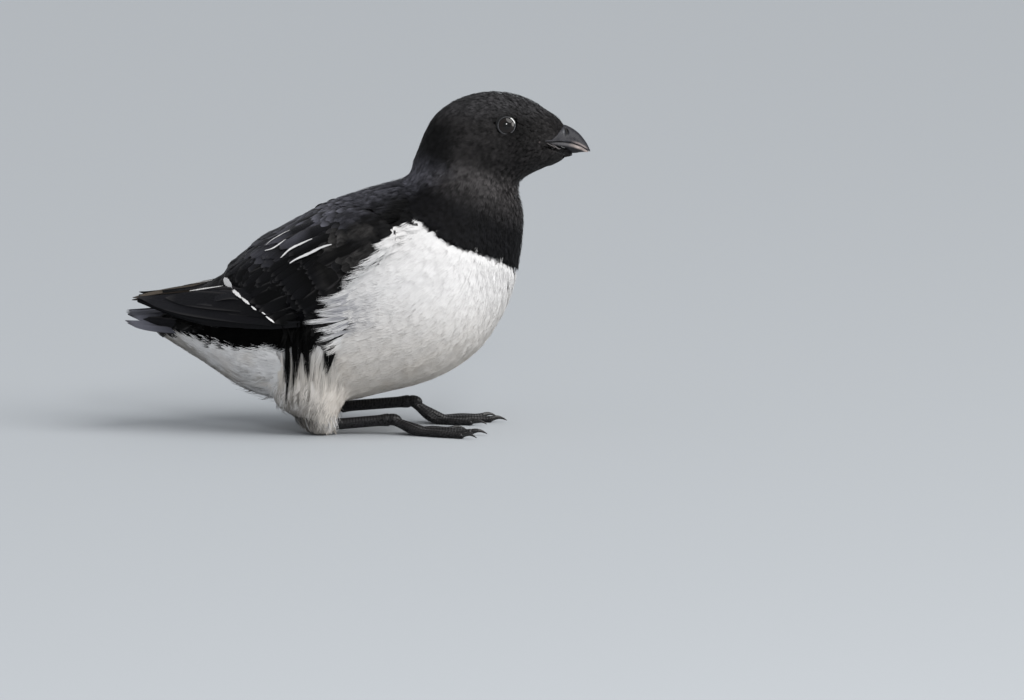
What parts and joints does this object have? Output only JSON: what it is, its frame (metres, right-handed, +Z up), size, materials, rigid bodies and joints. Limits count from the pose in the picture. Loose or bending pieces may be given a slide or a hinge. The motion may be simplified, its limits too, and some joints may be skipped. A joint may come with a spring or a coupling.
{
  "type": "little auk model",
  "caption": "Life-size still model of a little auk in black and white breeding plumage, resting on its tarsi with folded wings and head raised.",
  "frame": {"origin": "centre of the bounding box at floor level, under the middle of the bird", "axes": "+X forward, from tail to bill; +Y to the bird's left; +Z up"},
  "size_m": [0.1668, 0.0752, 0.1223],
  "materials": {
    "black_plumage": "black contour and flight feathers with a faint cool sheen, white edges on scapulars and secondaries",
    "hood_plumage": "sooty brown-black, short dense velvety head and neck feathers",
    "white_plumage": "clean white breast, belly, flanks and undertail with soft hairy edges",
    "bill": "black horn, satin, with a paler worn edge near the tip",
    "eye": "near-black wet glossy eye in a thin dark lid",
    "leg": "dark grey-black scaly skin and webs",
    "claw": "black horn, curved and pointed"
  },
  "bodies": {
    "root": {"trunk": "white_plumage", "neck": "hood_plumage", "head": "hood_plumage", "tail": "black_plumage", "bill_upper": "bill", "bill_lower": "bill", "eye_left": "eye", "wing_left": "black_plumage", "primaries_left": "black_plumage", "thigh_left": "white_plumage", "tarsus_left": "leg", "foot_left": "leg", "claw_inner_left": "claw", "claw_middle_left": "claw", "claw_outer_left": "claw", "eye_right": "eye", "wing_right": "black_plumage", "primaries_right": "black_plumage", "thigh_right": "white_plumage", "tarsus_right": "leg", "foot_right": "leg", "claw_inner_right": "claw", "claw_middle_right": "claw", "claw_outer_right": "claw"}
  },
  "joints": []
}
